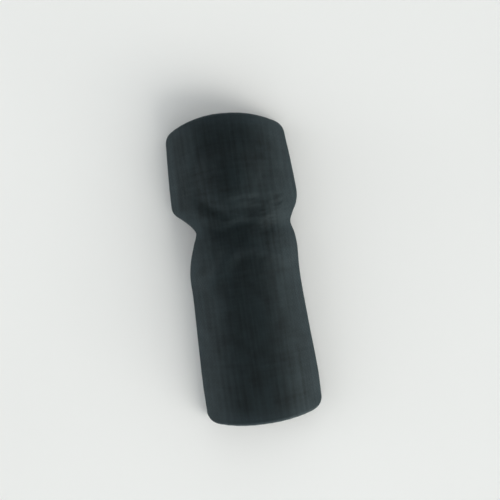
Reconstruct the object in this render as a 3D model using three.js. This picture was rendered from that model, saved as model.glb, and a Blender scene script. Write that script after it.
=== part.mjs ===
// Knee-and-shin sliding pad: a foam shell in a woven cover, curved to the leg, with two elastic back straps.
// Millimetres, +Z up. The pad lies face up on its side rims. +Y points to the thigh end, +X to the right of
// the face as it is looked at, and the origin is on the floor under the middle of the pad.

import * as THREE from 'three';

// Outline of the pad, seen from in front
const LENGTH = 274; // thigh edge to shin edge, over the rolled rims
const END_ROLL = 3; // how far the rim stands out past the face at the two ends
const SIDE_ROLL = 1; // how far the rim stands out past the face along the sides
const THIGH_ARC = 118; // radius of the arched thigh edge of the face
const THIGH_LEAN = 0.042; // slope of that edge across the pad: its left corner is higher than its right one
const THIGH_CORNER = 8; // radius where the thigh edge turns into a side
const SHIN_ARC = 240; // radius of the gently bowed shin edge of the face
const SHIN_CORNER = 8; // radius where the shin edge turns into a side
const END_BLEND = 70; // rows of facets turn from an end's arc to straight over this length

// Padding
const CORE_THICKNESS = 9; // foam and both cover layers
const RIM_THICKNESS = 7; // the same at the rolled rim
const RIM_TAPER = 20; // the foam thins over this distance from the edge
const RIM_STEPS = 4; // facets round the rolled rim

// Arch across the leg
const EDGE_HEIGHT = 5.5; // side edge of the face above the floor
const ARCH_POWER = 2.6; // 2 is a parabola, more is flatter in front and steeper at the sides

// Domed foam over the kneecap
const KNEE = { down: 58, halfWidth: 36, halfHeight: 34, rise: 5, extraFoam: 2 };

// Stations down the pad from its thigh edge. left and right are the outline's distances from the centre
// line, arch is the half width of the curve across the leg, which the side notch cuts into, and crown is
// the height of that curve.
const STATIONS = [
  { down: 0, left: 52.0, right: 52.0, arch: 51.0, crown: 24.5 },
  { down: 20, left: 53.4, right: 53.0, arch: 52.0, crown: 26.5 },
  { down: 46, left: 55.2, right: 55.0, arch: 54.2, crown: 28.5 },
  { down: 72, left: 56.4, right: 56.4, arch: 55.4, crown: 29.5 },
  { down: 79, left: 55.6, right: 56.2, arch: 55.2, crown: 29.3 },
  { down: 86, left: 48.0, right: 54.0, arch: 54.6, crown: 28.8 },
  { down: 92, left: 42.4, right: 50.6, arch: 54.0, crown: 28.4 },
  { down: 101, left: 38.2, right: 47.8, arch: 52.8, crown: 28.0 },
  { down: 112, left: 41.0, right: 49.4, arch: 51.2, crown: 28.4 },
  { down: 124, left: 45.6, right: 50.0, arch: 49.8, crown: 28.9 },
  { down: 138, left: 49.0, right: 49.2, arch: 48.4, crown: 29.2 },
  { down: 156, left: 49.2, right: 49.0, arch: 47.9, crown: 29.2 },
  { down: 196, left: 50.6, right: 50.4, arch: 49.5, crown: 28.8 },
  { down: 236, left: 51.8, right: 52.2, arch: 51.0, crown: 27.6 },
  { down: 258, left: 51.6, right: 51.8, arch: 50.7, crown: 26.4 },
  { down: 274, left: 51.6, right: 51.6, arch: 50.6, crown: 25.0 },
];

// Soft folds in the cover: a ridge where rise is positive and a crease where it is negative, each along a
// straight stretch of the face and dying away over its width.
const FOLDS = {
  leftDragFold: { fromX: -5, fromDown: 120, toX: -34, toDown: 146, width: 7, rise: 1.4 },
  rightDragFold: { fromX: 8, fromDown: 118, toX: 38, toDown: 134, width: 6, rise: 1.1 },
  underKneecapCrease: { fromX: -31, fromDown: 74, toX: -11, toDown: 87, width: 5, rise: -1.0 },
  bendingCrease: { fromX: -36, fromDown: 100, toX: 44, toDown: 104, width: 9, rise: -1.8 },
};

// Facets of the shell: columns on each side of the centre line, and runs of rows, closer where the outline
// turns.
const SIDE_COLUMNS = 10;
const ROW_RUNS = [
  { toDown: 20, rows: 5 },
  { toDown: 74, rows: 10 },
  { toDown: 106, rows: 11 },
  { toDown: 142, rows: 8 },
  { toDown: 252, rows: 18 },
  { toDown: Infinity, rows: 6 },
];

// Elastic back straps: each end is a tab on the shell's inner face, and the middle lies flat on the floor
const STRAP_THICKNESS = 1.6;
const STRAP_GAP = 0.3; // between a tab and the inner face
const STRAP_FLOOR_FACETS = 4; // facets across the flat middle
const TAB_LENGTH = 14; // across the pad
const TAB_FACETS = 5;
const TAB_INSET = 3; // lower end of a tab from the face's side edge
const FOLD_FACETS = 6; // facets round the turn from a tab to the floor
const STRAP_ROWS = 5; // facets along the strap's width
const STRAPS = [
  { name: 'upper_strap', down: 52, width: 44 },
  { name: 'lower_strap', down: 208, width: 50 },
];

const { smoothstep, lerp, clamp } = THREE.MathUtils;
const HALF_LENGTH = LENGTH / 2;

// A column of the stations at any distance down the pad: cubic pieces whose slope at a station is the slope
// between its two neighbours.
function station(column, down) {
  const last = STATIONS.length - 1;
  const before = clamp(STATIONS.findLastIndex((row) => row.down <= down), 0, last - 1);
  const after = before + 1;
  const slope = (i) => {
    const a = STATIONS[Math.max(i - 1, 0)];
    const b = STATIONS[Math.min(i + 1, last)];
    return (b[column] - a[column]) / (b.down - a.down);
  };
  const p = STATIONS[before];
  const q = STATIONS[after];
  const span = q.down - p.down;
  const t = clamp((down - p.down) / span, 0, 1);
  const start = (1 + 2 * t) * (1 - t) ** 2 * p[column] + t * (1 - t) ** 2 * span * slope(before);
  const end = (3 - 2 * t) * t ** 2 * q[column] + t ** 2 * (t - 1) * span * slope(after);
  return start + end;
}

// How far an end's arc falls back from its middle at a distance x from the centre line
const fallBack = (radius, x) => radius - Math.sqrt(radius ** 2 - x ** 2);

// How far the leaning thigh edge moves a point down the pad: in full at the edge, dying away below it
const thighLean = (x, down) => THIGH_LEAN * x * (1 - smoothstep(down, 0, END_BLEND));

// The rounded corner between an end's arc and a straight side: where its centre lies and where it leaves
// the arc, both as distances in from the end of the pad.
function endCorner(radius, corner, half) {
  const rise = Math.sqrt((radius - corner) ** 2 - (half - corner) ** 2);
  return {
    corner,
    centre: END_ROLL + radius - rise,
    leaves: END_ROLL + radius - (rise * radius) / (radius - corner),
  };
}

const thighCorner = endCorner(THIGH_ARC, THIGH_CORNER, STATIONS[1].left - SIDE_ROLL);
const shinCorner = endCorner(SHIN_ARC, SHIN_CORNER, STATIONS.at(-2).left - SIDE_ROLL);

function cornerInset({ corner, centre }, fromEnd) {
  const past = clamp(centre - fromEnd, 0, corner);
  return corner - Math.sqrt(corner ** 2 - past ** 2);
}

// Half width of the face on one side, the rounded corners included
function faceHalf(side, down) {
  const corners = cornerInset(thighCorner, down) + cornerInset(shinCorner, LENGTH - down);
  return station(side < 0 ? 'left' : 'right', down) - SIDE_ROLL - corners;
}

function foldRise(fold, x, down) {
  const along = new THREE.Vector2(fold.toX - fold.fromX, fold.toDown - fold.fromDown);
  const reach = new THREE.Vector2(x - fold.fromX, down - fold.fromDown);
  const t = clamp(reach.dot(along) / along.lengthSq(), 0, 1);
  const distance = reach.addScaledVector(along, -t).length();
  return fold.rise * Math.exp(-((distance / fold.width) ** 2));
}

const kneeDome = (x, down) => {
  const r2 = (x / KNEE.halfWidth) ** 2 + ((down - KNEE.down) / KNEE.halfHeight) ** 2;
  return r2 < 1 ? (1 - r2) ** 2 : 0;
};

// Height over the floor of the foam's moulded form: an arch across the leg, domed over the kneecap
function formHeight(x, y) {
  const down = HALF_LENGTH - y;
  const crown = station('crown', down);
  const across = Math.abs(x) / station('arch', down);
  const arch = crown - (crown - EDGE_HEIGHT) * across ** ARCH_POWER;
  return arch + KNEE.rise * kneeDome(x, down);
}

function formNormal(x, y) {
  const step = 0.05;
  const slopeX = (formHeight(x + step, y) - formHeight(x - step, y)) / (2 * step);
  const slopeY = (formHeight(x, y + step) - formHeight(x, y - step)) / (2 * step);
  return new THREE.Vector3(-slopeX, -slopeY, 1).normalize();
}

// Point a given depth under the moulded form, straight through the padding
const underForm = (x, y, depth) =>
  new THREE.Vector3(x, y, formHeight(x, y)).addScaledVector(formNormal(x, y), -depth);

// Point on the padded face, where the folds lie in the cover
function onFace(x, y) {
  const down = HALF_LENGTH - y;
  const folds = Object.values(FOLDS).reduce((sum, fold) => sum + foldRise(fold, x, down), 0);
  return underForm(x, y, -folds);
}

// Foam and cover thickness, thinner towards the edge and thicker over the kneecap
function thickness(x, y) {
  const down = HALF_LENGTH - y;
  const level = down - thighLean(x, down);
  const toSide = faceHalf(x, level) - Math.abs(x);
  const toThighEnd = level - END_ROLL - fallBack(THIGH_ARC, x);
  const toShinEnd = LENGTH - down - END_ROLL - fallBack(SHIN_ARC, x);
  const fromEdge = Math.min(toSide, toThighEnd, toShinEnd);
  const core = lerp(RIM_THICKNESS, CORE_THICKNESS, smoothstep(fromEdge, 0, RIM_TAPER));
  return core + KNEE.extraFoam * kneeDome(x, down);
}

// Solid between two grids of points with the same rows and columns: the grids are its skins, and ring after
// ring of points closes it round their shared border. The first skin faces the side that rows x columns does.
function solidBetween(skin, backSkin, ringsBetween = []) {
  const rows = skin.length - 1;
  const columns = skin[0].length - 1;
  const points = [...skin.flat(), ...backSkin.flat(), ...ringsBetween.flat()];
  const front = (i, j) => i * (columns + 1) + j;
  const back = (i, j) => skin.flat().length + front(i, j);
  const faces = [];
  for (let i = 0; i < rows; i++) {
    for (let j = 0; j < columns; j++) {
      faces.push(front(i, j), front(i + 1, j), front(i, j + 1));
      faces.push(front(i, j + 1), front(i + 1, j), front(i + 1, j + 1));
      faces.push(back(i, j), back(i, j + 1), back(i + 1, j));
      faces.push(back(i, j + 1), back(i + 1, j + 1), back(i + 1, j));
    }
  }
  const border = borderCells(rows, columns);
  const firstRing = 2 * skin.flat().length;
  const rings = [
    border.map(([i, j]) => front(i, j)),
    ...ringsBetween.map((ring, k) => ring.map((_, m) => firstRing + k * border.length + m)),
    border.map(([i, j]) => back(i, j)),
  ];
  for (let k = 0; k + 1 < rings.length; k++) {
    for (let m = 0; m < border.length; m++) {
      const next = (m + 1) % border.length;
      faces.push(rings[k][m], rings[k][next], rings[k + 1][m]);
      faces.push(rings[k][next], rings[k + 1][next], rings[k + 1][m]);
    }
  }
  const geometry = new THREE.BufferGeometry().setFromPoints(points);
  geometry.setIndex(faces);
  geometry.computeVertexNormals();
  return geometry;
}

// Grid cells round the border of a grid, in order: along the first row, and on round to the start
function borderCells(rows, columns) {
  const cells = [];
  for (let j = 0; j < columns; j++) cells.push([0, j]);
  for (let i = 0; i < rows; i++) cells.push([i, columns]);
  for (let j = columns; j > 0; j--) cells.push([rows, j]);
  for (let i = rows; i > 0; i--) cells.push([i, 0]);
  return cells;
}

// Distances down the pad's sides at which the rows of facets end
function rowPlaces() {
  const places = [thighCorner.leaves];
  for (const run of ROW_RUNS) {
    const from = places.at(-1);
    const to = Math.min(run.toDown, LENGTH - shinCorner.leaves);
    for (let k = 1; k <= run.rows; k++) places.push(lerp(from, to, k / run.rows));
  }
  return places;
}

// Where a row of facets that reaches the sides at a distance down crosses the face: straight in the middle of
// the pad, bowed like the nearer end towards it, and leaning with the thigh edge.
function facePoint(sideDown, across) {
  const half = faceHalf(across, sideDown);
  const x = across * half;
  const thigh = 1 - smoothstep(sideDown, thighCorner.leaves, thighCorner.leaves + END_BLEND);
  const toShin = LENGTH - sideDown;
  const shin = 1 - smoothstep(toShin, shinCorner.leaves, shinCorner.leaves + END_BLEND);
  const bow = thigh * (fallBack(THIGH_ARC, half) - fallBack(THIGH_ARC, x));
  const sag = shin * (fallBack(SHIN_ARC, half) - fallBack(SHIN_ARC, x));
  const level = sideDown - bow + sag;
  return { x, y: HALF_LENGTH - level - thighLean(x, level) };
}

function padShell() {
  const columns = Array.from({ length: 2 * SIDE_COLUMNS + 1 }, (_, j) => j / SIDE_COLUMNS - 1);
  const places = rowPlaces().map((down) => columns.map((across) => facePoint(down, across)));
  const face = places.map((row) => row.map(({ x, y }) => onFace(x, y)));
  const inner = places.map((row) => row.map(({ x, y }) => underForm(x, y, thickness(x, y))));

  // The rim rolls from the face to the inner side in a half circle round the middle of the padding
  const border = borderCells(places.length - 1, columns.length - 1);
  const edge = border.map(([i, j]) => face[i][j]);
  const rings = Array.from({ length: RIM_STEPS - 1 }, (_, k) => {
    const turn = (Math.PI * (k + 1)) / RIM_STEPS;
    return border.map(([i, j], m) => {
      const normal = face[i][j].clone().sub(inner[i][j]);
      const radius = normal.length() / 2;
      normal.normalize();
      const along = edge[(m + 1) % edge.length].clone().sub(edge.at(m - 1));
      const outward = normal.clone().cross(along).normalize();
      return face[i][j].clone().lerp(inner[i][j], 0.5)
        .addScaledVector(normal, radius * Math.cos(turn))
        .addScaledVector(outward, radius * Math.sin(turn));
    });
  });

  // The soft rim is pressed flat where it rests on the floor
  for (const point of [...face, ...inner, ...rings].flat()) point.z = Math.max(point.z, 0);
  return solidBetween(face, inner, rings);
}

// One side of a strap at a distance along the pad, from the tab's upper end to the floor, a layer deep into
// the webbing from the side that meets the shell and the floor.
function strapSide(side, y, layer) {
  const low = faceHalf(side, HALF_LENGTH - y) - TAB_INSET;
  const tabAt = (x, depth) => underForm(side * x, y, thickness(side * x, y) + STRAP_GAP + depth);
  const points = [];
  for (let k = 0; k <= TAB_FACETS; k++) {
    points.push(tabAt(low - TAB_LENGTH * (1 - k / TAB_FACETS), layer));
  }
  // The turn is the arc that leaves the tab straight on and just meets the floor
  const end = tabAt(low, 0);
  const normal = formNormal(side * low, y);
  const lean = Math.atan2(normal.z, Math.abs(normal.x));
  const radius = end.z / (1 + Math.sin(lean));
  for (let k = 1; k <= FOLD_FACETS; k++) {
    const turn = lerp(lean, -Math.PI / 2, k / FOLD_FACETS);
    const centreX = Math.abs(end.x) - radius * Math.cos(lean);
    const x = centreX + (radius - layer) * Math.cos(turn);
    points.push(new THREE.Vector3(side * x, end.y, radius + (radius - layer) * Math.sin(turn)));
  }
  return points;
}

function backStrap({ down, width }) {
  const skin = (layer) => Array.from({ length: STRAP_ROWS + 1 }, (_, i) => {
    const y = HALF_LENGTH - down + width * (i / STRAP_ROWS - 0.5);
    const left = strapSide(-1, y, layer);
    const right = strapSide(1, y, layer).reverse();
    const floor = Array.from({ length: STRAP_FLOOR_FACETS - 1 }, (_, k) =>
      left.at(-1).clone().lerp(right[0], (k + 1) / STRAP_FLOOR_FACETS));
    return [...left, ...floor, ...right];
  });
  return solidBetween(skin(0), skin(STRAP_THICKNESS));
}

const wovenCover = new THREE.MeshStandardMaterial({ color: '#2b3235', roughness: 0.7, metalness: 0 });
const elasticWebbing = new THREE.MeshStandardMaterial({ color: '#1c1f22', roughness: 0.85, metalness: 0 });

function namedMesh(name, geometry, material) {
  const mesh = new THREE.Mesh(geometry, material);
  mesh.name = name;
  return mesh;
}

const slidingPad = new THREE.Group();
slidingPad.add(namedMesh('pad_shell', padShell(), wovenCover));
for (const strap of STRAPS) {
  slidingPad.add(namedMesh(strap.name, backStrap(strap), elasticWebbing));
}

export default slidingPad;
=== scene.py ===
import math

import bpy
import numpy as np
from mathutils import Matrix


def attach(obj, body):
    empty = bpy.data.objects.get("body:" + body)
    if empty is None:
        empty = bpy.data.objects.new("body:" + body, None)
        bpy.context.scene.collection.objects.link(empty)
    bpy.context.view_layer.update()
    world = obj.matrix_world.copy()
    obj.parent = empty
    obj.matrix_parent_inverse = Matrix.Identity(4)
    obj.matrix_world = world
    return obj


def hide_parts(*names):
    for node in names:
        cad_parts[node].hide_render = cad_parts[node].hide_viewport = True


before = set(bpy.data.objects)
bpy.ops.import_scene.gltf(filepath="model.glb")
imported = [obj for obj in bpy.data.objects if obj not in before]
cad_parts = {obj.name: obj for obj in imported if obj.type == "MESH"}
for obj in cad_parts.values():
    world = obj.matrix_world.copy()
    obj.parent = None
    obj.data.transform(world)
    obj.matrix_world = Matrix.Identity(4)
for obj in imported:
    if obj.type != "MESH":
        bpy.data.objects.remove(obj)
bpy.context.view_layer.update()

# Table top
# A plain matt off-white board that the pad lies on, painted and very slightly uneven in tone.
# It is part of the studio and not of the pad.

BOARD_SIDE = 12.0
BOARD_COLOUR = "#f4f3f0"
BOARD_SHADE_COLOUR = "#ecebe8"
BOARD_CLOUD = 0.35  # metres across one patch of tone
BOARD_ROUGHNESS, BOARD_SPECULAR = 0.85, 0.2


def linear(hex_colour):
    """An sRGB hex colour as linear red, green, blue and alpha: the sRGB curve undone for each channel."""
    srgb = np.array([int(hex_colour[i:i + 2], 16) for i in (1, 3, 5)]) / 255
    rgb = np.where(srgb <= 0.04045, srgb / 12.92, ((srgb + 0.055) / 1.055) ** 2.4)
    return (*rgb.tolist(), 1.0)


def add_node(tree, kind, inputs=None, **settings):
    """Adds one shader node. Settings are its properties; an input is a value, or a socket to link from."""
    made = tree.nodes.new(kind)
    for name, value in settings.items():
        setattr(made, name, value)
    for socket, value in (inputs or {}).items():
        if isinstance(value, bpy.types.NodeSocket):
            tree.links.new(value, made.inputs[socket])
        else:
            made.inputs[socket].default_value = value
    return made


def new_material(name):
    """An empty node material: its own tree, and the one surface shader that the finish is set on."""
    material = bpy.data.materials.new(name)
    material.use_nodes = True
    return material, material.node_tree, material.node_tree.nodes["Principled BSDF"]


def new_piece(name, points, face_sets, material, uv=None):
    """A smooth mesh at the origin, from points in metres and sets of faces, with a UV for each corner."""
    corners = np.concatenate([faces.ravel() for faces in face_sets]).astype(np.int32)
    sides = np.concatenate([np.full(len(faces), faces.shape[1]) for faces in face_sets])
    mesh = bpy.data.meshes.new(name)
    mesh.vertices.add(len(points))
    mesh.vertices.foreach_set("co", np.asarray(points, np.float32).ravel())
    mesh.loops.add(len(corners))
    mesh.loops.foreach_set("vertex_index", corners)
    mesh.polygons.add(len(sides))
    mesh.polygons.foreach_set("loop_start", (np.cumsum(sides) - sides).astype(np.int32))
    mesh.update(calc_edges=True)
    mesh.shade_smooth()
    if uv is not None:
        mesh.uv_layers.new(name="cloth").uv.foreach_set("vector", np.asarray(uv, np.float32).ravel())
    mesh.materials.append(material)
    piece = bpy.data.objects.new(name, mesh)
    bpy.context.scene.collection.objects.link(piece)
    return piece


# Eggshell paint: one pale tone with faint clouds and no gloss.
# Here and below, socket 0 of a Mix is the share; 2 and 3 are its two numbers, or 6 and 7 its two colours.
board_paint, tree, shader = new_material("eggshell_paint")
place = add_node(tree, "ShaderNodeTexCoord")
clouds = add_node(tree, "ShaderNodeTexNoise", {
    "Vector": place.outputs["Object"], "Scale": 1 / BOARD_CLOUD,
})
tone = add_node(tree, "ShaderNodeMix", {
    0: clouds.outputs["Fac"], 6: linear(BOARD_SHADE_COLOUR), 7: linear(BOARD_COLOUR),
}, data_type="RGBA")
tree.links.new(tone.outputs[2], shader.inputs["Base Color"])
shader.inputs["Roughness"].default_value = BOARD_ROUGHNESS
shader.inputs["Specular IOR Level"].default_value = BOARD_SPECULAR

board_corners = np.array([[-1, -1, 0], [1, -1, 0], [1, 1, 0], [-1, 1, 0]]) * BOARD_SIDE / 2
board = new_piece("table_top", board_corners, [np.array([[0, 1, 2, 3]])], board_paint)

# Studio light
# A soft tent of light round the pad, bright near the table and dark overhead where the camera hangs, so the
# dark cloth shows its curve as a slow fall of light from its sides to the middle. Two soft boxes help it.

TENT_COLOUR = "#f3f8fa"
TENT_LOW, TENT_TOP = 4.2, 0.02  # brightness at the table's level and overhead
TENT_FALL = 2.0  # power with which the tent darkens upwards
TENT_LEAN = (0.28, -0.40, 0.0)  # the tent is brighter to the right and below the shin end
SOFT_BOX_ANGLE = math.radians(35)  # each box is wide and far away, so it lights the whole table alike
SOFT_BOXES = [
    # name, way to it, watts on a square metre, colour
    ("right_soft_box", (0.74, -0.70, 0.30), 2.4, "#fffdf8"),
    ("left_soft_box", (-0.92, 0.12, 0.28), 1.0, "#f6faff"),
]

world = bpy.data.worlds.new("light_tent")
world.use_nodes = True
tree = world.node_tree
way = add_node(tree, "ShaderNodeTexCoord").outputs["Generated"]
way_axes = add_node(tree, "ShaderNodeSeparateXYZ", {0: way})
lowness = add_node(tree, "ShaderNodeMath", {
    0: 1.0, 1: way_axes.outputs["Z"],
}, operation="SUBTRACT", use_clamp=True)
fall = add_node(tree, "ShaderNodeMath", {0: lowness.outputs[0], 1: TENT_FALL}, operation="POWER")
glow = add_node(tree, "ShaderNodeMapRange", {
    "Value": fall.outputs[0], "To Min": TENT_TOP, "To Max": TENT_LOW,
})
lean = add_node(tree, "ShaderNodeVectorMath", {0: way, 1: TENT_LEAN}, operation="DOT_PRODUCT")
lean = add_node(tree, "ShaderNodeMath", {0: lean.outputs["Value"], 1: 1.0}, operation="ADD")
glow = add_node(tree, "ShaderNodeMath", {0: glow.outputs[0], 1: lean.outputs[0]}, operation="MULTIPLY")
tent = tree.nodes["Background"]
tent.inputs["Color"].default_value = linear(TENT_COLOUR)
tree.links.new(glow.outputs[0], tent.inputs["Strength"])
bpy.context.scene.world = world
bpy.context.scene.view_settings.view_transform = "Standard"

for name, way_to_it, watts, colour in SOFT_BOXES:
    lamp = bpy.data.lights.new(name, "SUN")
    lamp.angle = SOFT_BOX_ANGLE
    lamp.energy = watts
    lamp.color = linear(colour)[:3]
    box = bpy.data.objects.new(name, lamp)
    box.location = way_to_it
    box.rotation_mode = "QUATERNION"
    box.rotation_quaternion = (-box.location).to_track_quat("-Z", "Y")
    bpy.context.scene.collection.objects.link(box)

# Camera
# A plain camera that hangs over the table. It looks straight down on the lying pad, whose thigh end leans
# a little to the left of the picture.

SENSOR_WIDTH = 36.0  # millimetres
PICTURE_SIDE = 500  # pixels
PIXEL_SIZE = 0.00089  # metres on the pad, at the height of its side rims
RIM_HEIGHT = 0.005
CAMERA_HEIGHT = 0.8
CAMERA_OVER = (0.0074, 0.0150)  # the point of the pad's frame under the middle of the picture
PICTURE_LEAN = math.radians(8.4)

lens = bpy.data.cameras.new("camera")
lens.sensor_width = SENSOR_WIDTH
lens.lens = SENSOR_WIDTH * (CAMERA_HEIGHT - RIM_HEIGHT) / (PICTURE_SIDE * PIXEL_SIZE)
camera = bpy.data.objects.new("camera", lens)
camera.location = (*CAMERA_OVER, CAMERA_HEIGHT)
camera.rotation_euler = (0, 0, -PICTURE_LEAN)
bpy.context.scene.collection.objects.link(camera)
bpy.context.scene.camera = camera

# Padded shell
# A sheet of moulded EVA foam in a woven nylon cover, drawn round the foam and hemmed behind. It is curved
# to the leg: arched across, domed over the kneecap, notched at both sides where the knee bends.

MM = 0.001  # sizes of the shell, the straps and the stitches are in millimetres
LENGTH = 274
END_ROLL = 3  # how far the rim stands out past the face at the two ends
SIDE_ROLL = 1  # and along the sides
THIGH_ARC, THIGH_CORNER = 118, 8  # radius of the edge, and of the corners at its ends
THIGH_LEAN = 0.042  # slope of the thigh edge across the pad: its left corner is the higher one
SHIN_ARC, SHIN_CORNER = 240, 8
END_BLEND = 70  # rows turn from an end's arc to straight over this length
CORE_THICKNESS = 9
RIM_THICKNESS = 7
RIM_TAPER = 20
EDGE_HEIGHT = 5.5  # side edge of the face above the floor
ARCH_POWER = 2.6
KNEE_DOWN, KNEE_HALF_WIDTH, KNEE_HALF_HEIGHT = 58, 36, 34
KNEE_RISE, KNEE_EXTRA_FOAM = 5, 2

# Stations down the pad from its thigh edge: the outline left and right of the centre line, the half width
# of the arch that the side notch cuts into, and the arch's height
STATIONS = np.array([
    (0, 52.0, 52.0, 51.0, 24.5),
    (20, 53.4, 53.0, 52.0, 26.5),
    (46, 55.2, 55.0, 54.2, 28.5),
    (72, 56.4, 56.4, 55.4, 29.5),
    (79, 55.6, 56.2, 55.2, 29.3),
    (86, 48.0, 54.0, 54.6, 28.8),
    (92, 42.4, 50.6, 54.0, 28.4),
    (101, 38.2, 47.8, 52.8, 28.0),
    (112, 41.0, 49.4, 51.2, 28.4),
    (124, 45.6, 50.0, 49.8, 28.9),
    (138, 49.0, 49.2, 48.4, 29.2),
    (156, 49.2, 49.0, 47.9, 29.2),
    (196, 50.6, 50.4, 49.5, 28.8),
    (236, 51.8, 52.2, 51.0, 27.6),
    (258, 51.6, 51.8, 50.7, 26.4),
    (274, 51.6, 51.6, 50.6, 25.0),
], dtype=[(column, float) for column in ("down", "left", "right", "arch", "crown")])

# Folds in the cover: ridges rise and creases fall, along a stretch from one point of the face to another
FOLDS = np.array([
    (-5, 120, -34, 146, 7.0, 1.4),
    (8, 118, 38, 134, 6.0, 1.1),
    (-31, 74, -11, 87, 5.0, -1.0),
    (-36, 100, 44, 104, 9.0, -1.8),
], dtype=[(column, float) for column in ("from_x", "from_down", "to_x", "to_down", "width", "rise")])


def smooth(low, high, value):
    """0 below low, 1 above high, and 3t^2 - 2t^3 of the way t between them."""
    t = np.clip((value - low) / (high - low), 0, 1)
    return t * t * (3 - 2 * t)


def station(column, down):
    """Cubic pieces through a column of STATIONS; the slope at a row is that between its neighbours."""
    downs, values = STATIONS["down"], STATIONS[column]
    last = len(downs) - 1
    row = np.arange(last + 1)
    ahead, behind = np.minimum(row + 1, last), np.maximum(row - 1, 0)
    slopes = (values[ahead] - values[behind]) / (downs[ahead] - downs[behind])
    i = np.clip(np.searchsorted(downs, down, side="right") - 1, 0, last - 1)
    span = downs[i + 1] - downs[i]
    t = np.clip((down - downs[i]) / span, 0, 1)
    start = (1 + 2 * t) * (1 - t) ** 2 * values[i] + t * (1 - t) ** 2 * span * slopes[i]
    end = (3 - 2 * t) * t ** 2 * values[i + 1] + t ** 2 * (t - 1) * span * slopes[i + 1]
    return start + end


def fall_back(radius, x):
    """How far an arc falls back from its middle at x from the centre line."""
    return radius - np.sqrt(radius ** 2 - x ** 2)


def thigh_lean(x, down):
    """How far the leaning thigh edge moves a point down the pad: most at the edge, dying away below it."""
    return THIGH_LEAN * x * (1 - smooth(0, END_BLEND, down))


def end_corner(radius, corner, half):
    """Where the round corner between an end's arc and a side is centred, and where it leaves the arc."""
    rise = math.sqrt((radius - corner) ** 2 - (half - corner) ** 2)
    return END_ROLL + radius - rise, END_ROLL + radius - rise * radius / (radius - corner)


THIGH_CENTRE, THIGH_LEAVES = end_corner(THIGH_ARC, THIGH_CORNER, STATIONS["left"][1] - SIDE_ROLL)
SHIN_CENTRE, SHIN_LEAVES = end_corner(SHIN_ARC, SHIN_CORNER, STATIONS["left"][-2] - SIDE_ROLL)


def face_half(side, down):
    """Half width of the face on one side: the outline less its rim and the corners' quarter rounds."""
    thigh = np.clip(THIGH_CENTRE - down, 0, THIGH_CORNER)
    shin = np.clip(SHIN_CENTRE - (LENGTH - down), 0, SHIN_CORNER)
    corners = fall_back(THIGH_CORNER, thigh) + fall_back(SHIN_CORNER, shin)
    outline = np.where(np.asarray(side) < 0, station("left", down), station("right", down))
    return outline - SIDE_ROLL - corners


def fold_rise(x, down):
    """Sum of the folds: each is its rise times exp(-(d / width)^2), d being the distance to its stretch."""
    total = np.zeros(x.shape)
    for fold in FOLDS:
        along = np.array([fold["to_x"] - fold["from_x"], fold["to_down"] - fold["from_down"]])
        dx, dd = x - fold["from_x"], down - fold["from_down"]
        t = np.clip((dx * along[0] + dd * along[1]) / (along @ along), 0, 1)
        gap2 = (dx - t * along[0]) ** 2 + (dd - t * along[1]) ** 2
        total += fold["rise"] * np.exp(-gap2 / fold["width"] ** 2)
    return total


def knee_dome(x, down):
    """(1 - r^2)^2 inside the kneecap's ellipse and 0 outside, r being the distance in half axes."""
    r2 = (x / KNEE_HALF_WIDTH) ** 2 + ((down - KNEE_DOWN) / KNEE_HALF_HEIGHT) ** 2
    return np.clip(1 - r2, 0, None) ** 2


def form_height(x, y):
    """Height of the moulded foam: an arch falling with a power of |x| / half width, and the knee's dome."""
    down = LENGTH / 2 - y
    crown = station("crown", down)
    arch = crown - (crown - EDGE_HEIGHT) * (np.abs(x) / station("arch", down)) ** ARCH_POWER
    return arch + KNEE_RISE * knee_dome(x, down)


def form_normal(x, y, step=0.05):
    """Unit normal of the moulded form, from the height's slopes by central differences."""
    slope_x = (form_height(x + step, y) - form_height(x - step, y)) / (2 * step)
    slope_y = (form_height(x, y + step) - form_height(x, y - step)) / (2 * step)
    normal = np.stack([-slope_x, -slope_y, np.ones_like(slope_x)], -1)
    return normal / np.linalg.norm(normal, axis=-1, keepdims=True)


def under_form(x, y, depth):
    """Points a depth under the moulded form, along its normal."""
    return np.stack([x, y, form_height(x, y)], -1) - np.asarray(depth)[..., None] * form_normal(x, y)


def from_edge(x, y):
    """Distance to the nearest edge of the face, seen from in front."""
    down = LENGTH / 2 - y
    level = down - thigh_lean(x, down)
    to_side = face_half(x, level) - np.abs(x)
    to_thigh = level - END_ROLL - fall_back(THIGH_ARC, x)
    to_shin = LENGTH - down - END_ROLL - fall_back(SHIN_ARC, x)
    return np.minimum(to_side, np.minimum(to_thigh, to_shin))


def thickness(x, y):
    """Foam and cover: thinner at the rim, full past the taper, and more over the kneecap."""
    core = RIM_THICKNESS + (CORE_THICKNESS - RIM_THICKNESS) * smooth(0, RIM_TAPER, from_edge(x, y))
    return core + KNEE_EXTRA_FOAM * knee_dome(x, LENGTH / 2 - y)


def face_places(side_down, across):
    """x and y of the face's grid: straight rows that bow and lean like the nearer end's arc close to it."""
    half = face_half(across, side_down)
    x = across * half
    thigh = 1 - smooth(THIGH_LEAVES, THIGH_LEAVES + END_BLEND, side_down)
    shin = 1 - smooth(SHIN_LEAVES, SHIN_LEAVES + END_BLEND, LENGTH - side_down)
    bow = thigh * (fall_back(THIGH_ARC, half) - fall_back(THIGH_ARC, x))
    sag = shin * (fall_back(SHIN_ARC, half) - fall_back(SHIN_ARC, x))
    level = side_down - bow + sag
    return x, LENGTH / 2 - level - thigh_lean(x, level)


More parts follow.
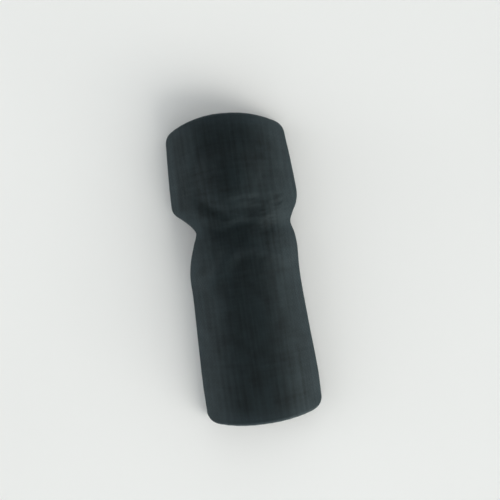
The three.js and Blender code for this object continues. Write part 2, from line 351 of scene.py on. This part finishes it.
# The cover's hem behind: the cloth is turned in, sewn down, and stands a little proud of the panel inside.
# Drawn round the rim, it gathers into small pleats.
HEM_WIDTH = 9
HEM_STEP = 0.6  # how far the hem stands proud of the panel
HEM_SLOPE = 0.9  # half the width over which it steps down
SEAM_INSET = 6.5  # the row of stitches from the face's edge
SEAM_PULL = 0.5  # how deep the stitches draw the hem in
SEAM_SPREAD = 1.3  # and how far to each side
SEAM_STEP = 0.8  # the row is worked out in steps of this length
SEAM_ROUND = 10  # and its corners are rounded over this length
SEAM_END_POINTS, SEAM_SIDE_POINTS = 80, 300  # before that, along each end and each side
CORNER_GUESS, CORNER_TRIES = 45.0, 30  # the search for the row's corners starts here and goes on this often
RIM_STEPS = 12
GATHER = 8  # from one pleat to the next
GATHER_DEPTH = 0.3


def end_row(down_at, side):
    """x where the row along an end meets the row along a side, found by going from one to the other."""
    at_x = CORNER_GUESS
    for _ in range(CORNER_TRIES):
        at_x = float(face_half(side, down_at(at_x))) - SEAM_INSET
    return side * at_x


def thigh_row(at_x):
    """Distance down the pad of the row of stitches along the thigh edge, before that edge leans."""
    return END_ROLL + fall_back(THIGH_ARC, at_x) + SEAM_INSET


def shin_row(at_x):
    """Distance down the pad of the row of stitches along the shin edge."""
    return LENGTH - END_ROLL - fall_back(SHIN_ARC, at_x) - SEAM_INSET


def run_along(path):
    """Length along a line of points from its start to each of them."""
    return np.concatenate([[0], np.cumsum(np.linalg.norm(np.diff(path, axis=0), axis=-1))])


def rounded_loop(path):
    """A closed line at equal steps, each point moved to the mean of its neighbours within the rounding."""
    closed = np.concatenate([path, path[:1]])
    run = run_along(closed)
    at = np.linspace(0, run[-1], round(run[-1] / SEAM_STEP), endpoint=False)
    even = np.stack([np.interp(at, run, closed[:, k]) for k in range(2)], -1)
    reach = round(SEAM_ROUND / SEAM_STEP / 2)
    return np.mean([np.roll(even, shift, axis=0) for shift in range(-reach, reach + 1)], axis=0)


thigh_x = np.linspace(end_row(thigh_row, -1), end_row(thigh_row, 1), SEAM_END_POINTS)
shin_x = np.linspace(end_row(shin_row, 1), end_row(shin_row, -1), SEAM_END_POINTS)
right_down = np.linspace(thigh_row(thigh_x[-1]), shin_row(shin_x[0]), SEAM_SIDE_POINTS)
left_down = np.linspace(shin_row(shin_x[-1]), thigh_row(thigh_x[0]), SEAM_SIDE_POINTS)
hem_x = np.concatenate([
    thigh_x, face_half(1, right_down) - SEAM_INSET, shin_x, SEAM_INSET - face_half(-1, left_down),
])
hem_level = np.concatenate([thigh_row(thigh_x), right_down, shin_row(shin_x), left_down])
hem_row = rounded_loop(np.stack([hem_x, LENGTH / 2 - hem_level - thigh_lean(hem_x, hem_level)], -1))


def inner_depth(x, y):
    """Depth of the inner side: the thickness less the panel's step and the draw along the stitches' row."""
    panel = HEM_STEP * smooth(HEM_WIDTH - HEM_SLOPE, HEM_WIDTH + HEM_SLOPE, from_edge(x, y))
    to_row2 = np.min((x[..., None] - hem_row[:, 0]) ** 2 + (y[..., None] - hem_row[:, 1]) ** 2, axis=-1)
    return thickness(x, y) - panel - SEAM_PULL * np.exp(-to_row2 / SEAM_SPREAD ** 2)


def quads(ids):
    """Quads between neighbours of a grid of point numbers, facing rows x columns."""
    return np.stack([ids[:-1, :-1], ids[1:, :-1], ids[1:, 1:], ids[:-1, 1:]], -1).reshape(-1, 4)


def border(grid):
    """A grid's border in order: along its first row and on round to the start."""
    return np.concatenate([grid[0, :-1], grid[:-1, -1], grid[-1, :0:-1], grid[:0:-1, 0]])


# Rows of the cover down its sides and columns across it, closer along the rim and round the notch:
# each stretch goes from one place to another in a number of steps
ROWS = [
    (THIGH_LEAVES, 27, 12), (27, 76, 20), (76, 112, 28), (112, 252, 58), (252, LENGTH - SHIN_LEAVES, 12),
]
COLUMNS = [(-1, -0.74, 12), (-0.74, 0.74, 30), (0.74, 1, 12)]


def stepped(stretches):
    """Numbers at even steps within each stretch, and the end of the last one."""
    starts = [np.linspace(start, stop, steps, endpoint=False) for start, stop, steps in stretches]
    return np.concatenate([*starts, [stretches[-1][1]]])


x, y = face_places(stepped(ROWS)[:, None], stepped(COLUMNS)[None, :])
folds = fold_rise(x, LENGTH / 2 - y)
face = under_form(x, y, -folds)
inner = under_form(x, y, inner_depth(x, y))

# The rim rolls from the face to the inner side in a half circle round the middle of the padding, and its
# gathers are deepest on the half that is turned under
edge, inner_edge = border(face), border(inner)
normal = edge - inner_edge
radius = np.linalg.norm(normal, axis=-1, keepdims=True) / 2
normal = normal / (2 * radius)
outward = np.cross(normal, np.roll(edge, -1, 0) - np.roll(edge, 1, 0))
outward /= np.linalg.norm(outward, axis=-1, keepdims=True)
turn = np.linspace(0, np.pi, RIM_STEPS + 1)[:, None, None]
run = np.cumsum(np.linalg.norm(np.roll(edge, -1, 0) - edge, axis=1))
gathers = 1 + np.sin(2 * np.pi * round(run[-1] / GATHER) * run / run[-1])[:, None]
drawn_in = GATHER_DEPTH * gathers * np.sin(turn) ** 2 * (1 - np.cos(turn)) / 2
rim = (edge + inner_edge) / 2 + (radius - drawn_in) * (np.cos(turn) * normal + np.sin(turn) * outward)
rim = rim[1:-1]

points = np.concatenate([face.reshape(-1, 3), inner.reshape(-1, 3), rim.reshape(-1, 3)])
points[:, 2] = np.maximum(points[:, 2], 0)  # the soft rim is pressed flat on the table
face_ids = np.arange(x.size).reshape(x.shape)
inner_ids = face_ids + x.size
rim_ids = 2 * x.size + np.arange(rim.shape[0] * rim.shape[1]).reshape(rim.shape[:2])
ring_ids = np.concatenate([border(face_ids)[None], rim_ids, border(inner_ids)[None]])
ring_ids = np.concatenate([ring_ids, ring_ids[:, :1]], 1)
shell_faces = np.concatenate([quads(face_ids), quads(inner_ids)[:, ::-1], quads(ring_ids)[:, ::-1]])


def cloth_uv(sheet):
    """Lengths of cloth in metres over a grid: across from its middle column, along from its first row."""
    steps = np.linalg.norm(np.diff(sheet, axis=1), axis=-1)
    u = np.concatenate([np.zeros((len(sheet), 1)), np.cumsum(steps, 1)], 1)
    middle = sheet.shape[1] // 2
    v = run_along(sheet[:, middle])
    return np.stack([u - u[:, middle, None], np.broadcast_to(-v[:, None], u.shape)], -1) * MM


face_uv, inner_uv = cloth_uv(face), cloth_uv(inner)
rim_uv = border(face_uv) + turn * radius * outward[None, :, :2] * MM
rim_uv = np.concatenate([rim_uv, rim_uv[:, :1]], 1)
rim_uv_ids = np.arange(rim_uv.shape[0] * rim_uv.shape[1]).reshape(rim_uv.shape[:2])
shell_uv = np.concatenate([
    face_uv.reshape(-1, 2)[quads(face_ids)].reshape(-1, 2),
    inner_uv.reshape(-1, 2)[quads(face_ids)[:, ::-1]].reshape(-1, 2),
    rim_uv.reshape(-1, 2)[quads(rim_uv_ids)[:, ::-1]].reshape(-1, 2),
])

# Ballistic nylon: thick filament threads in a two-by-two basket weave, dyed blue-black. The eye gets a dark
# cloth with a dull sheen at the sides. Real threads are about 0.5 mm, and they are drawn wider to show.
COVER_COLOUR = "#040607"
COVER_FADED_COLOUR = "#171f21"
# The colour that the rim and the fold tops lighten to: rubbed wear, and painted highlight
COVER_RUBBED_AND_HIGHLIT_COLOUR = "#2b3438"
COVER_DULL, COVER_GLOSSY = 0.62, 0.5  # roughness of the darkest and the lightest yarns
COVER_SPECULAR, COVER_SPECULAR_COLOUR = 0.24, "#cfe6ea"
COVER_SHEEN, COVER_SHEEN_ROUGHNESS, COVER_SHEEN_COLOUR = 0.25, 0.25, "#a9c6cc"
THREAD = 0.9 * MM
THREADS_IN_BLOCK = 2
THREAD_CROSSING = 0.2  # how much of the product of two sines one thread takes to dip under another
THREAD_RELIEF, THREAD_RELIEF_SHARE = 0.3 * MM, 0.42
# Painted shade and painted highlight: the colour is multiplied by these in the gaps between the threads and
# on their tops
THREAD_GAP_SHADE, THREAD_TOP_HIGHLIGHT = 0.3, 1.25  # tone in the gaps between threads, and on top of them
MOTTLE, MOTTLE_DETAIL, MOTTLE_ROUGHNESS = 18 * MM, 3.0, 0.65
YARN_STREAKS = [
    # bands of lighter and darker yarns: their weight beside the mottle, width across and run along the pad
    (0.8, 3.2 * MM, 100 * MM),
    (0.35, 100 * MM, 3.2 * MM),
]
FADING_SPREAD = 0.27  # from the middle of that sum to its darkest and its lightest


def weave_height(tree, u, v, thread, block):
    """Basket weave: |sin| round threads; the sign of sin u times sin v over a block says which is up."""
    rounds, waves = [], []
    for axis in (u, v):
        phase = add_node(tree, "ShaderNodeMath", {0: axis, 1: math.pi / thread}, operation="MULTIPLY")
        wave = add_node(tree, "ShaderNodeMath", {0: phase.outputs[0]}, operation="SINE")
        bulge = add_node(tree, "ShaderNodeMath", {0: wave.outputs[0]}, operation="ABSOLUTE")
        rounds.append(bulge.outputs[0])
        slow = add_node(tree, "ShaderNodeMath", {0: phase.outputs[0], 1: 1 / block}, operation="MULTIPLY")
        slow_wave = add_node(tree, "ShaderNodeMath", {0: slow.outputs[0]}, operation="SINE")
        waves.append(slow_wave.outputs[0])
    both = add_node(tree, "ShaderNodeMath", {0: waves[0], 1: waves[1]}, operation="MULTIPLY")
    over = add_node(tree, "ShaderNodeMapRange", {
        "Value": both.outputs[0], "From Min": -THREAD_CROSSING, "From Max": THREAD_CROSSING,
    })
    return add_node(tree, "ShaderNodeMix", {0: over.outputs[0], 2: rounds[1], 3: rounds[0]}).outputs[0]


ballistic_nylon, tree, shader = new_material("ballistic_nylon")
cloth = add_node(tree, "ShaderNodeUVMap", uv_map="cloth")
cloth_axes = add_node(tree, "ShaderNodeSeparateXYZ", {0: cloth.outputs[0]})
threads = weave_height(tree, cloth_axes.outputs[0], cloth_axes.outputs[1], THREAD, THREADS_IN_BLOCK)
place = add_node(tree, "ShaderNodeTexCoord")
mottle = add_node(tree, "ShaderNodeTexNoise", {
    "Vector": place.outputs["Object"], "Scale": 1 / MOTTLE,
    "Detail": MOTTLE_DETAIL, "Roughness": MOTTLE_ROUGHNESS,
})
fading = mottle.outputs["Fac"]
for share, streak_across, streak_along in YARN_STREAKS:
    yarn_place = add_node(tree, "ShaderNodeMapping", {
        "Vector": cloth.outputs[0], "Scale": (1 / streak_across, 1 / streak_along, 1),
    })
    yarns = add_node(tree, "ShaderNodeTexNoise", {"Vector": yarn_place.outputs[0], "Scale": 1.0})
    fading = add_node(tree, "ShaderNodeMath", {
        0: yarns.outputs["Fac"], 1: share, 2: fading,
    }, operation="MULTIPLY_ADD").outputs[0]
fading_middle = (1 + sum(share for share, *_ in YARN_STREAKS)) / 2
fading = add_node(tree, "ShaderNodeMapRange", {
    "Value": fading, "From Min": fading_middle - FADING_SPREAD, "From Max": fading_middle + FADING_SPREAD,
})
colour = add_node(tree, "ShaderNodeMix", {
    0: fading.outputs[0], 6: linear(COVER_COLOUR), 7: linear(COVER_FADED_COLOUR),
}, data_type="RGBA")
# On the tops of the threads, the rim, the band along it and the fold tops go towards the lighter colour:
# partly real wear, partly painted highlight
wear_and_highlight = add_node(tree, "ShaderNodeAttribute", attribute_name="wear_and_highlight")
rubbed_and_highlit = add_node(tree, "ShaderNodeMath", {0: wear_and_highlight.outputs["Fac"], 1: threads}, operation="MULTIPLY")
colour = add_node(tree, "ShaderNodeMix", {
    0: rubbed_and_highlit.outputs[0], 6: colour.outputs[2], 7: linear(COVER_RUBBED_AND_HIGHLIT_COLOUR),
}, data_type="RGBA")
# The weave's height darkens the colour in the gaps between the threads and lightens it on their tops:
# painted shade and painted highlight
shaded = add_node(tree, "ShaderNodeMapRange", {
    "Value": threads, "To Min": THREAD_GAP_SHADE, "To Max": THREAD_TOP_HIGHLIGHT,
})
colour = add_node(tree, "ShaderNodeMix", {
    0: 1.0, 6: colour.outputs[2], 7: shaded.outputs[0],
}, data_type="RGBA", blend_type="MULTIPLY")
bump = add_node(tree, "ShaderNodeBump", {
    "Height": threads, "Strength": THREAD_RELIEF_SHARE, "Distance": THREAD_RELIEF,
})
rough = add_node(tree, "ShaderNodeMapRange", {
    "Value": fading.outputs[0], "To Min": COVER_DULL, "To Max": COVER_GLOSSY,
})
tree.links.new(colour.outputs[2], shader.inputs["Base Color"])
tree.links.new(bump.outputs[0], shader.inputs["Normal"])
tree.links.new(rough.outputs[0], shader.inputs["Roughness"])
shader.inputs["Specular IOR Level"].default_value = COVER_SPECULAR
shader.inputs["Specular Tint"].default_value = linear(COVER_SPECULAR_COLOUR)
shader.inputs["Sheen Weight"].default_value = COVER_SHEEN
shader.inputs["Sheen Roughness"].default_value = COVER_SHEEN_ROUGHNESS
shader.inputs["Sheen Tint"].default_value = linear(COVER_SHEEN_COLOUR)

shell = new_piece("padded_shell", points * MM, [shell_faces], ballistic_nylon, shell_uv)

# The cover is lighter on the rolled rim, in a band near it and on the tops of the folds. This is partly
# rubbed wear and partly painted highlight, standing in for the sheen that the rounded sides and ridges
# catch
WEAR_AND_HIGHLIGHT_REACH = 9
RIM_WEAR_AND_HIGHLIGHT = 0.5
FOLD_WEAR_AND_HIGHLIGHT = 0.15  # for each millimetre that a fold rises
inset = from_edge(x, y)
face_wear_and_highlight = RIM_WEAR_AND_HIGHLIGHT * np.exp(-(inset / WEAR_AND_HIGHLIGHT_REACH) ** 2) + FOLD_WEAR_AND_HIGHLIGHT * np.clip(folds, 0, None)
turn_wear_and_highlight = RIM_WEAR_AND_HIGHLIGHT * (np.sin(turn) + (1 + np.cos(turn)) / 2)
rim_wear_and_highlight = np.broadcast_to(turn_wear_and_highlight[1:-1, :, 0], rim.shape[:2])
wear_and_highlight_values = np.concatenate([face_wear_and_highlight.ravel(), np.zeros(x.size), rim_wear_and_highlight.ravel()])
wear_and_highlight_layer = shell.data.attributes.new("wear_and_highlight", "FLOAT", "POINT")
wear_and_highlight_layer.data.foreach_set("value", wear_and_highlight_values.astype(np.float32))

# The cover is cut a little too long for the foam. Cloth simulation with air inside lets that slack settle
# into creases where the knee bends, while the foam holds the rest of the cover in its form.
SLACK = 0.001  # share by which the cloth is longer than the foam under it
AIR_PRESSURE = 3.0
SETTLE_FRAMES = 20
SETTLE_CAP = 1.8  # no point of the cover moves further
SETTLE_QUALITY = 6  # steps of the simulation in a frame
CLOTH_MASS = 0.15  # kilograms at each point
STRETCH_STIFFNESS, SHEAR_STIFFNESS, BEND_STIFFNESS = 20, 8, 300
BEND_DOWN, BEND_REACH = 98, 60  # where down the pad the cover is free to crease
HELD_EDGE, FREE_EDGE = 2, 18  # from the edge: where the rim starts to let the cover go, and has let it go
HOLD_LEVELS = 21


def settle_cover(piece, hold):
    """Cloth with pressure inside, each point held by its share, stepped to rest, its moves cut at a cap."""
    rest = np.empty(len(hold) * 3, np.float32)
    piece.data.vertices.foreach_get("co", rest)
    group = piece.vertex_groups.new(name="held")
    level = np.rint(hold * (HOLD_LEVELS - 1)).astype(int)
    for step in np.unique(level):
        group.add(np.flatnonzero(level == step).tolist(), step / (HOLD_LEVELS - 1), "REPLACE")
    cloth = piece.modifiers.new("cover", "CLOTH")
    cloth.settings.quality = SETTLE_QUALITY
    cloth.settings.mass = CLOTH_MASS
    cloth.settings.tension_stiffness = cloth.settings.compression_stiffness = STRETCH_STIFFNESS
    cloth.settings.shear_stiffness = SHEAR_STIFFNESS
    cloth.settings.bending_stiffness = BEND_STIFFNESS
    cloth.settings.shrink_min = -SLACK
    cloth.settings.use_pressure = True
    cloth.settings.uniform_pressure_force = AIR_PRESSURE
    cloth.settings.vertex_group_mass = group.name
    cloth.settings.effector_weights.gravity = 0
    cloth.collision_settings.use_collision = False
    for step in range(1, SETTLE_FRAMES + 1):
        bpy.context.scene.frame_set(step)
    settled = np.empty_like(rest)
    piece.evaluated_get(bpy.context.evaluated_depsgraph_get()).data.vertices.foreach_get("co", settled)
    move = (settled - rest).reshape(-1, 3)
    reach = np.linalg.norm(move, axis=1, keepdims=True)
    move *= np.minimum(1, SETTLE_CAP * MM / np.maximum(reach, 1e-9))
    piece.modifiers.remove(cloth)
    piece.vertex_groups.remove(group)
    bpy.context.scene.frame_set(1)
    piece.data.vertices.foreach_set("co", rest + move.ravel())
    piece.data.update()


free = np.exp(-((LENGTH / 2 - y - BEND_DOWN) / BEND_REACH) ** 2) * smooth(HELD_EDGE, FREE_EDGE, inset)
settle_cover(shell, np.concatenate([1 - free.ravel(), np.ones(x.size + rim_ids.size)]))

smoothing = shell.modifiers.new("smoothing", "SUBSURF")
smoothing.levels = smoothing.render_levels = 1
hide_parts("pad_shell")
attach(shell, "root")

# Hem stitches
# One row of lockstitch in bonded nylon thread sews the turned hem down, all the way round the inner side.
# Each stitch is a short bar of thread whose ends go into the cloth.

HEM_PITCH = 3.6
HEM_BITE = 0.78  # share of a pitch that a stitch shows
THREAD_RADIUS = 0.38
STITCH_ARCH = 0.18  # the middle of a stitch stands this much higher than its ends
STITCH_SIDES = 6
STITCH_RINGS = np.array([-0.85, -0.4, 0.0, 0.4, 0.85])  # places of its rings, from end to end as -1 to 1


def stitch_ends(path, pitch, bite):
    """Starts and ends of stitches along a line of points: equal pitches, each stitch a share of its own."""
    reach = run_along(path)
    count = max(1, round(reach[-1] / pitch))
    middle = (np.arange(count) + 0.5) / count * reach[-1]
    half = bite / 2 * reach[-1] / count
    at = [np.stack([np.interp(middle + way * half, reach, path[:, k]) for k in range(path.shape[1])], -1)
          for way in (-1, 1)]
    return at[0], at[1]


def stitch_meshes(starts, ends, ups):
    """Stitches as bars along s = -1 to 1: arched by 1 - s^2, as thick as sqrt(1 - s^4), closed by poles."""
    s = STITCH_RINGS[None, :, None, None]
    angle = (np.arange(STITCH_SIDES) * 2 * np.pi / STITCH_SIDES)[None, None, :, None]
    along = ends - starts
    side = np.cross(ups, along)
    side /= np.linalg.norm(side, axis=1, keepdims=True)
    middle = ((starts + ends) / 2)[:, None, None]
    line = middle + s * (along / 2)[:, None, None] + STITCH_ARCH * (1 - s ** 2) * ups[:, None, None]
    round_section = np.cos(angle) * side[:, None, None] + np.sin(angle) * ups[:, None, None]
    rings = line + THREAD_RADIUS * (1 - s ** 4) ** 0.5 * round_section
    stitch_points = np.concatenate([rings.reshape(len(starts), -1, 3), starts[:, None], ends[:, None]], 1)
    pole = len(STITCH_RINGS) * STITCH_SIDES
    ring = np.arange(pole).reshape(-1, STITCH_SIDES)
    ring = np.concatenate([ring, ring[:, :1]], 1)
    first = np.stack([ring[0, 1:], ring[0, :-1], np.full(STITCH_SIDES, pole)], -1)
    last = np.stack([ring[-1, :-1], ring[-1, 1:], np.full(STITCH_SIDES, pole + 1)], -1)
    offset = (np.arange(len(starts)) * stitch_points.shape[1])[:, None, None]
    sets = [(faces[None] + offset).reshape(-1, faces.shape[1])
            for faces in (quads(ring)[:, ::-1], first, last)]
    return stitch_points.reshape(-1, 3), sets


ends_xy = stitch_ends(np.concatenate([hem_row, hem_row[:1]]), HEM_PITCH, HEM_BITE)
starts, ends = (under_form(xy[:, 0], xy[:, 1], inner_depth(xy[:, 0], xy[:, 1])) for xy in ends_xy)
middle_x, middle_y = (ends_xy[0] + ends_xy[1]).T / 2
ups = -form_normal(middle_x, middle_y)

# Bonded nylon thread: smooth, tightly twisted, a shade lighter than the cloth, with a small gloss
THREAD_COLOUR = "#23292c"
THREAD_LIGHT_COLOUR = "#333b3e"
THREAD_ROUGHNESS = 0.45
PLY = 0.8 * MM  # one turn of the twist
PLY_WOBBLE = 1.0
WAVE_RATE = 10  # radians that a diagonal wave texture turns in one unit
bonded_thread, tree, shader = new_material("bonded_nylon_thread")
place = add_node(tree, "ShaderNodeTexCoord")
plies = add_node(tree, "ShaderNodeTexWave", {
    "Vector": place.outputs["Object"], "Scale": 2 * math.pi / (WAVE_RATE * PLY), "Distortion": PLY_WOBBLE,
}, bands_direction="DIAGONAL")
tone = add_node(tree, "ShaderNodeMix", {
    0: plies.outputs["Fac"], 6: linear(THREAD_COLOUR), 7: linear(THREAD_LIGHT_COLOUR),
}, data_type="RGBA")
tree.links.new(tone.outputs[2], shader.inputs["Base Color"])
shader.inputs["Roughness"].default_value = THREAD_ROUGHNESS

hem_points, hem_faces = stitch_meshes(starts, ends, ups)
hem_stitches = new_piece("hem_stitches", hem_points * MM, hem_faces, bonded_thread)
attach(hem_stitches, "root")

# Back straps
# Two bands of ribbed elastic webbing cross the back, above the knee and over the calf. Each end is sewn
# flat on the inner side as a tab, turns under the rim and lies along the table to the other side.

STRAP_THICKNESS = 1.6
STRAP_GAP = 0.3  # between a tab and the inner side
TAB_LENGTH = 14
TAB_INSET = 3
TAB_STEPS, TURN_STEPS, FLOOR_STEPS = 14, 22, 30
RIB = 2.2  # from one rib to the next
RIB_DEPTH = 0.22
RIB_STEPS = 4
SELVEDGE = 1.0
SELVEDGE_ROUND = np.array([1.0, 0.6, 0.25, 0.06, 0.0])  # places over its round, from the ribs to the edge
STRAPS = [
    # piece, node, down the pad, width
    ("upper_back_strap", "upper_strap", 52, 44),
    ("lower_back_strap", "lower_strap", 208, 50),
]


def strap_side(side, y, layer):
    """One side of a strap, a layer deep into it: the tab under the shell, then an arc down to the floor."""
    low = face_half(side, LENGTH / 2 - y) - TAB_INSET
    tab_x = side * (low[:, None] - TAB_LENGTH * np.linspace(1, 0, TAB_STEPS + 1))
    tab_y = np.broadcast_to(y[:, None], tab_x.shape)
    tab = under_form(tab_x, tab_y, thickness(tab_x, tab_y) + STRAP_GAP + layer[:, None])
    end = under_form(side * low, y, thickness(side * low, y) + STRAP_GAP)
    normal = form_normal(side * low, y)
    lean = np.arctan2(normal[:, 2], np.abs(normal[:, 0]))[:, None]
    radius = end[:, 2:] / (1 + np.sin(lean))
    turn = lean + (-np.pi / 2 - lean) * np.linspace(0, 1, TURN_STEPS + 1)[None, 1:]
    arc_x = side * (np.abs(end[:, :1]) - radius * np.cos(lean) + (radius - layer[:, None]) * np.cos(turn))
    arc_z = radius + (radius - layer[:, None]) * np.sin(turn)
    arc = np.stack([arc_x, np.broadcast_to(end[:, 1:2], arc_x.shape), arc_z], -1)
    return np.concatenate([tab, arc], 1)


def strap_skin(y, layer):
    """One skin of a strap from tab to tab: both sides, and the straight run on the floor between them."""
    left, right = strap_side(-1, y, layer), strap_side(1, y, layer)[:, ::-1]
    share = np.linspace(0, 1, FLOOR_STEPS + 1)[None, 1:-1, None]
    return np.concatenate([left, left[:, -1:] * (1 - share) + right[:, :1] * share, right], 1)


# Woven elastic: rubber cores under polyester threads, in ribs along the band. The eye gets a matt black
# band of fine cords with a cross grain. The cross threads are drawn at twice their width to show.
STRAP_COLOUR = "#101214"
STRAP_LIGHT_COLOUR = "#22262a"
STRAP_ROUGHNESS, STRAP_SPECULAR, STRAP_SHEEN = 0.8, 0.25, 0.1
CROSS_THREAD = 1.0 * MM
CROSS_RELIEF, CROSS_RELIEF_SHARE = 0.25 * MM, 0.6
LINT, LINT_DETAIL = 6 * MM, 4.0  # soft patches of tone
woven_elastic, tree, shader = new_material("woven_elastic")
cloth = add_node(tree, "ShaderNodeUVMap", uv_map="cloth")
cloth_axes = add_node(tree, "ShaderNodeSeparateXYZ", {0: cloth.outputs[0]})
grain = weave_height(tree, cloth_axes.outputs[0], cloth_axes.outputs[1], CROSS_THREAD, 1)
place = add_node(tree, "ShaderNodeTexCoord")
lint = add_node(tree, "ShaderNodeTexNoise", {
    "Vector": place.outputs["Object"], "Scale": 1 / LINT, "Detail": LINT_DETAIL,
})
# The colour follows the weave's height, lighter on the tops of the cross threads and darker in the gaps
# between them: painted shade and highlight, broken up by the lint's random patches
tone = add_node(tree, "ShaderNodeMath", {0: grain, 1: lint.outputs["Fac"]}, operation="MULTIPLY")
colour = add_node(tree, "ShaderNodeMix", {
    0: tone.outputs[0], 6: linear(STRAP_COLOUR), 7: linear(STRAP_LIGHT_COLOUR),
}, data_type="RGBA")
bump = add_node(tree, "ShaderNodeBump", {
    "Height": grain, "Strength": CROSS_RELIEF_SHARE, "Distance": CROSS_RELIEF,
})
tree.links.new(colour.outputs[2], shader.inputs["Base Color"])
tree.links.new(bump.outputs[0], shader.inputs["Normal"])
shader.inputs["Roughness"].default_value = STRAP_ROUGHNESS
shader.inputs["Specular IOR Level"].default_value = STRAP_SPECULAR
shader.inputs["Sheen Weight"].default_value = STRAP_SHEEN

for name, node, down, width in STRAPS:
    ribs = round(width / RIB)
    ribbed = width / 2 - SELVEDGE
    rounds = width / 2 - SELVEDGE * SELVEDGE_ROUND
    offset = np.concatenate([np.linspace(-ribbed, ribbed, RIB_STEPS * ribs + 1), rounds, -rounds])
    offset = np.unique(offset.round(6))
    past = np.clip((np.abs(offset) - ribbed) / SELVEDGE, 0, 1)
    valley = 1 - np.abs(np.sin(np.pi * ribs * (offset + ribbed) / (2 * ribbed)))
    half = (STRAP_THICKNESS / 2 - RIB_DEPTH * valley * (past == 0)) * np.sqrt(1 - past ** 2)
    strap_y = LENGTH / 2 - down + offset
    outer = strap_skin(strap_y, STRAP_THICKNESS / 2 - half)
    leg_side = strap_skin(strap_y, STRAP_THICKNESS / 2 + half)
    # The two skins share their selvedge rows, and quads close the cut ends
    outer_ids = np.arange(outer.shape[0] * outer.shape[1]).reshape(outer.shape[:2])
    leg_ids = outer_ids + outer_ids.size
    leg_ids[0], leg_ids[-1] = outer_ids[0], outer_ids[-1]
    cut_ends = [quads(np.stack([leg_ids[:, 0], outer_ids[:, 0]], 1)),
                quads(np.stack([outer_ids[:, -1], leg_ids[:, -1]], 1))]
    used = np.concatenate([outer_ids.ravel(), leg_ids[1:-1].ravel()])
    renumber = np.zeros(2 * outer_ids.size, int)
    renumber[used] = np.arange(len(used))
    strap_points = np.concatenate([outer.reshape(-1, 3), leg_side.reshape(-1, 3)])[used]
    strap_faces = [renumber[faces] for faces in (quads(outer_ids), quads(leg_ids)[:, ::-1], *cut_ends)]
    along = run_along(outer[len(offset) // 2])
    strap_uv = np.stack(np.broadcast_arrays(offset[:, None], along[None]), -1).reshape(-1, 2) * MM
    strap_uv = np.concatenate([strap_uv, strap_uv])[used]
    corner_uv = np.concatenate([strap_uv[faces].reshape(-1, 2) for faces in strap_faces])
    strap = new_piece(name, strap_points * MM, strap_faces, woven_elastic, corner_uv)
    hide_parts(node)
    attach(strap, "root")

# Tab stitches
# Each strap's end is sewn to the inner side with a box of stitches and a cross inside it.
# The thread is the same bonded nylon as along the hem.

BOX_INSET = 2.6  # from the tab's edges
BOX_PITCH = 3.0
BOX_LINES = [
    # from one corner to another, as shares of the box's length and width
    ((0, 0), (1, 0)), ((1, 0), (1, 1)), ((1, 1), (0, 1)), ((0, 1), (0, 0)),
    ((0, 0), (1, 1)), ((1, 0), (0, 1)),
]


def on_tab(side, down, width, along, over):
    """Points on a tab's leg side and the ways out of it, at lengths from its inner end and lower edge."""
    at_y = LENGTH / 2 - down + over - width / 2
    at_x = side * (face_half(side, LENGTH / 2 - at_y) - TAB_INSET - TAB_LENGTH + along)
    depth = thickness(at_x, at_y) + STRAP_GAP + STRAP_THICKNESS
    return under_form(at_x, at_y, depth), -form_normal(at_x, at_y)


box_stitches = []
for *_, down, width in STRAPS:
    room = np.array([TAB_LENGTH, width]) - 2 * BOX_INSET
    for side in (-1, 1):
        for line in BOX_LINES:
            ends_on_tab = stitch_ends(BOX_INSET + np.array(line) * room, BOX_PITCH, HEM_BITE)
            (starts, _), (ends, ups) = (on_tab(side, down, width, *at.T) for at in ends_on_tab)
            box_stitches.append((starts, ends, ups))

tab_points, tab_faces = stitch_meshes(*(np.concatenate(part) for part in zip(*box_stitches)))
tab_stitches = new_piece("tab_stitches", tab_points * MM, tab_faces, bonded_thread)
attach(tab_stitches, "root")
